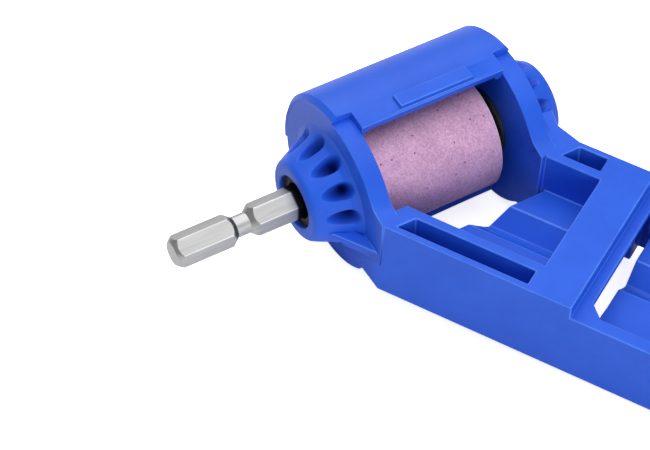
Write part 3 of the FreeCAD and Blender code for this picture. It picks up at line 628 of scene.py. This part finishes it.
def bevel_edges(piece, radius):
    """Bevels the sharp edges that are long enough to take the radius."""
    bpy.ops.object.mode_set(mode="EDIT")
    bpy.ops.mesh.select_mode(type="EDGE")
    bpy.ops.mesh.select_all(action="DESELECT")
    bpy.ops.mesh.edges_select_sharp(sharpness=SHARP_TURN)
    bpy.ops.object.mode_set(mode="OBJECT")
    mesh = piece.data
    weight = mesh.attributes.new("bevel_weight_edge", "FLOAT", "EDGE")
    marked = 0
    for edge in mesh.edges:
        first, second = [mesh.vertices[i].co for i in edge.vertices]
        take = edge.select and (first - second).length > LONG_EDGE
        weight.data[edge.index].value = 1.0 if take else 0.0
        marked += take
    mesh.materials.clear()
    mesh.materials.append(None)
    mesh.materials.append(None)
    bevel = piece.modifiers.new("soft_edges", "BEVEL")
    bevel.material = 1
    bevel.limit_method = "WEIGHT"
    bevel.width = radius
    bevel.segments = BEVEL_ROWS
    bevel.use_clamp_overlap = False
    bevel.miter_outer = "MITER_SHARP"
    bpy.ops.object.modifier_apply(modifier=bevel.name)
    bpy.ops.object.mode_set(mode="EDIT")
    bpy.ops.mesh.select_all(action="SELECT")
    bpy.ops.mesh.remove_doubles(threshold=BEVEL_WELD)
    bpy.ops.mesh.dissolve_degenerate(threshold=BEVEL_WELD)
    bpy.ops.object.mode_set(mode="OBJECT")
    mark_edge_highlight(mesh)
    print(piece.name, "bevelled", marked, "edges, now", len(mesh.polygons), "faces")


# %% Shading and naming of a moulding
SMOOTH_ANGLE = math.radians(38)


def smooth(piece):
    bpy.ops.object.shade_smooth_by_angle(angle=SMOOTH_ANGLE)
    steady = piece.modifiers.new("steady_normals", "WEIGHTED_NORMAL")
    steady.keep_sharp = True
    bpy.ops.object.modifier_apply(modifier=steady.name)


def finish_moulding(piece, node):
    """Blue plastic, riding on the frame in place of a solid."""
    piece.data.materials.clear()
    piece.data.materials.append(blue_plastic)
    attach(piece, "frame")
    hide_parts(node)


# %% [markdown]
# ## Fluted noses
#
# Each end of the drum carries a hollow cone with twelve pockets, cut along the axis with a round cutter.
# The solids give the pockets a few flat strips, which is too coarse for a close view, so both cones are
# made again. The cone's section is a closed line of depths behind the tip and radii. A grid is rolled up
# along it: its columns become angles and its rows points of the section. Where the cutter reaches, a point
# drops 1.8 times as far as the cutter's surface lies below it, because shallower pockets don't look dark
# enough. Two rounds of taking the mean of neighbours give the pockets' edges a slight radius.

# %% Section of a nose, in millimetres
NOSE_TIP = 30.1
NOSE_LENGTH = 8.85
TIP_RADIUS = 8.65
BASE_RADIUS = 12.8
TAPER = (BASE_RADIUS - TIP_RADIUS) / NOSE_LENGTH
BORE = 5.93
FOOT = 9.35
FOOT_RADIUS = 14.1
FOOT_PULL = (8.45, 12.97)
FLANK_START = 7.4
RIM_ROUND = 1.7
FOOT_STEPS = 16
FLANK_STEPS = 60
RIM_STEPS = 10
# Depth behind the tip, and radius past the bore.
MOUTH = [(0.0, 0.6), (0.0, 0.3), (0.09, 0.09), (0.3, 0.0)]


def flank(depth):
    return TIP_RADIUS + TAPER * depth


def bend(start, pull, end, s):
    """A value on a curve that goes from start to end and is drawn towards pull."""
    return start * (1 - s) ** 2 + 2 * pull * s * (1 - s) + end * s * s


def nose_section():
    """Foot, flank, rounded rim, mouth and bore, as depths and radii."""
    points = [(FOOT, FOOT_RADIUS)]
    for i in range(FOOT_STEPS + 1):
        s = i / FOOT_STEPS
        points.append((bend(NOSE_LENGTH, FOOT_PULL[0], FLANK_START, s),
                       bend(FOOT_RADIUS, FOOT_PULL[1], flank(FLANK_START), s)))
    tilt = math.atan(TAPER)
    rim_middle = flank(RIM_ROUND) - RIM_ROUND / math.cos(tilt)
    flank_end = RIM_ROUND * (1 - math.sin(tilt))
    for i in range(1, FLANK_STEPS + 1):
        depth = FLANK_START + (flank_end - FLANK_START) * i / FLANK_STEPS
        points.append((depth, flank(depth)))
    for i in range(1, RIM_STEPS + 1):
        swing = tilt + (math.pi / 2 - tilt) * i / RIM_STEPS
        points.append((RIM_ROUND * (1 - math.sin(swing)), rim_middle + RIM_ROUND * math.cos(swing)))
    points += [(depth, BORE + past) for depth, past in MOUTH]
    points.append((FOOT, BORE))
    return points


section = nose_section()
print("section of", len(section), "points")

# %% Depth of the pockets
COLUMNS = 576
FLUTES = 12
PITCH = COLUMNS // FLUTES
FLUTE_CIRCLE = 11.4
FLUTE_RADIUS = 1.7
FLUTE_START = 0.5
DEEPEN = 1.8
# Depth of a pocket in mm at which its painted shade is full.
FULL_SHADE_DEPTH = 2.4
SOFTENING_ROUNDS = 2


def cut_below(depth, radius, swing):
    """How far the cutter goes below a point of the cone, at an angle from the cutter's middle."""
    aside = FLUTE_CIRCLE * math.sin(swing)
    if abs(aside) >= FLUTE_RADIUS or depth < FLUTE_START:
        return 0.0
    half = math.sqrt(FLUTE_RADIUS ** 2 - aside ** 2)
    middle = FLUTE_CIRCLE * math.cos(swing)
    return radius - middle + half if abs(radius - middle) < half else 0.0


def softened(grid):
    """The mean of each point and its eight neighbours, round the pocket and along the section."""
    last = len(grid) - 1
    result = []
    for row in range(len(grid)):
        near = [grid[max(row - 1, 0)], grid[row], grid[min(row + 1, last)]]
        sums = [sum(column) for column in zip(*near)]
        result.append([(sums[i - 1] + sums[i] + sums[(i + 1) % PITCH]) / 9 for i in range(PITCH)])
    return result


swings = [column / COLUMNS * math.tau - math.pi / FLUTES for column in range(PITCH)]
cuts = [[cut_below(depth, radius, swing) for swing in swings] for depth, radius in section]
for _ in range(SOFTENING_ROUNDS):
    cuts = softened(cuts)
print("deepest pocket", round(DEEPEN * max(max(row) for row in cuts), 2), "mm")


# %% Roll a grid up along a section
SEAM = 0.001 * MM


def rolled_piece(name, line, end, columns, drop=None, filled=()):
    """Rolls a section up round the drum's axis; filled names the pockets that aren't cut."""
    bpy.ops.object.select_all(action="DESELECT")
    bpy.ops.mesh.primitive_grid_add(x_subdivisions=columns, y_subdivisions=len(line), size=2.0)
    piece = bpy.context.active_object
    piece.name = name
    # Painted shade for the pockets: 0 at the surface, 1 from the depth where the shade is full.
    painted_pocket_shade = piece.data.attributes.new("painted_pocket_shade", "FLOAT", "POINT")
    for vertex in piece.data.vertices:
        column = round((vertex.co.x + 1) / 2 * columns) % columns
        row = round((vertex.co.y + 1) / 2 * len(line)) % len(line)
        depth, radius = line[row]
        if drop and column // PITCH not in filled:
            cut = drop[row][column % PITCH]
            radius -= DEEPEN * cut
            painted_pocket_shade.data[vertex.index].value = min(cut / FULL_SHADE_DEPTH, 1.0)
        angle = column / columns * math.tau
        outward = toward_handle * math.cos(angle) + Vector((0, 0, 1)) * math.sin(angle)
        vertex.co = drum_middle + (wheel_axis * end * (NOSE_TIP - depth) + outward * radius) * MM
    bpy.ops.object.mode_set(mode="EDIT")
    bpy.ops.mesh.select_all(action="SELECT")
    bpy.ops.mesh.remove_doubles(threshold=SEAM)
    bpy.ops.mesh.delete_loose()
    bpy.ops.mesh.select_all(action="SELECT")
    bpy.ops.mesh.normals_make_consistent(inside=False)
    bpy.ops.object.mode_set(mode="OBJECT")
    print(name, len(piece.data.polygons), "faces")
    return piece


# %% [markdown]
# The coarse cones are cut off the frame's copy with a plain cone that is a hair larger, and the new ones
# take their place, with their feet a little way inside the end walls. The cut can leave a loose crumb
# behind, so only the largest piece is kept. On the near nose one pocket stays full, because the web to the
# handle starts there.

# %% Cut the coarse noses off the frame
ENDS = ((-1, "near"), (1, "far"))
BLANK_COLUMNS = 432
BLANK_FOOT = 8.86
BLANK_FOOT_RADIUS = 14.05
BLANK_WAIST = 7.65
BLANK_TIP = -0.5
HAIR = 0.01
BLANK = [(BLANK_FOOT, 0.0), (BLANK_FOOT, BLANK_FOOT_RADIUS), (BLANK_WAIST, flank(BLANK_WAIST) + HAIR),
         (BLANK_TIP, flank(BLANK_TIP) + HAIR), (BLANK_TIP, 0.0)]
frame_moulding = joined_copy("frame", "frame_moulding")
for end, side in ENDS:
    blank = rolled_piece(side + "_blank", BLANK, end, BLANK_COLUMNS)
    pick_only(frame_moulding)
    trim = frame_moulding.modifiers.new("trim", "BOOLEAN")
    trim.operation = "DIFFERENCE"
    trim.solver = "EXACT"
    trim.object = blank
    bpy.ops.object.modifier_apply(modifier=trim.name)
    bpy.data.objects.remove(blank)

# %% Keep the largest piece
bpy.ops.object.mode_set(mode="EDIT")
bpy.ops.mesh.select_all(action="SELECT")
bpy.ops.mesh.separate(type="LOOSE")
bpy.ops.object.mode_set(mode="OBJECT")
loose_pieces = list(bpy.context.selected_objects)
frame_moulding = max(loose_pieces, key=lambda piece: len(piece.data.polygons))
for crumb in loose_pieces:
    if crumb != frame_moulding:
        bpy.data.objects.remove(crumb)
frame_moulding.name = "frame_moulding"
frame_moulding.data.name = "frame_moulding"
print("frame keeps", len(frame_moulding.data.polygons), "faces,", len(loose_pieces) - 1, "crumb removed")

# %% Soften the frame
FRAME_ROUND = 0.35 * MM
merge_flats(frame_moulding)
bevel_edges(frame_moulding, FRAME_ROUND)
smooth(frame_moulding)
finish_moulding(frame_moulding, "frame")

# %% Make the noses
NOSE_SMOOTH = math.radians(50)
FULL_POCKETS = {"near": (11,), "far": ()}
for end, side in ENDS:
    nose = rolled_piece(side + "_nose", section, end, COLUMNS, cuts, FULL_POCKETS[side])
    bpy.ops.object.shade_smooth_by_angle(angle=NOSE_SMOOTH)
    nose.data.materials.append(blue_plastic)
    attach(nose, "frame")

# %% [markdown]
# ## The hood
#
# The hood is a thin curved cover with a lip and a finger bar, moulded in the same blue. Its solid already
# has these forms, so it only gets softer edges, a little finer than the frame's because its wall is
# thinner.

# %% Soften the hood
HOOD_ROUND = 0.30 * MM
hood_moulding = joined_copy("wheel_hood", "hood_moulding")
merge_flats(hood_moulding)
bevel_edges(hood_moulding, HOOD_ROUND)
smooth(hood_moulding)
finish_moulding(hood_moulding, "wheel_hood")

# %% [markdown]
# ## Finishes on the inner pieces
#
# The wheel, spindle, bushes, washers, flanges and nut keep their solids, because their shapes are right.
# Each gets its finish in the material slot of its own object.

# %% Finishes
FINISHES = {"corundum": corundum, "shank_steel": shank_steel, "zinc_steel": zinc_steel, "bronze": bronze,
            "blotter_paper": blotter_card, "nylon": nylon, "blue_plastic": blue_plastic}
for subpart in frame["record"]["subparts"]:
    solid = frame["nodes"][subpart["node"]]
    solid.data.materials.clear()
    solid.data.materials.append(FINISHES[subpart["material_slot"]])
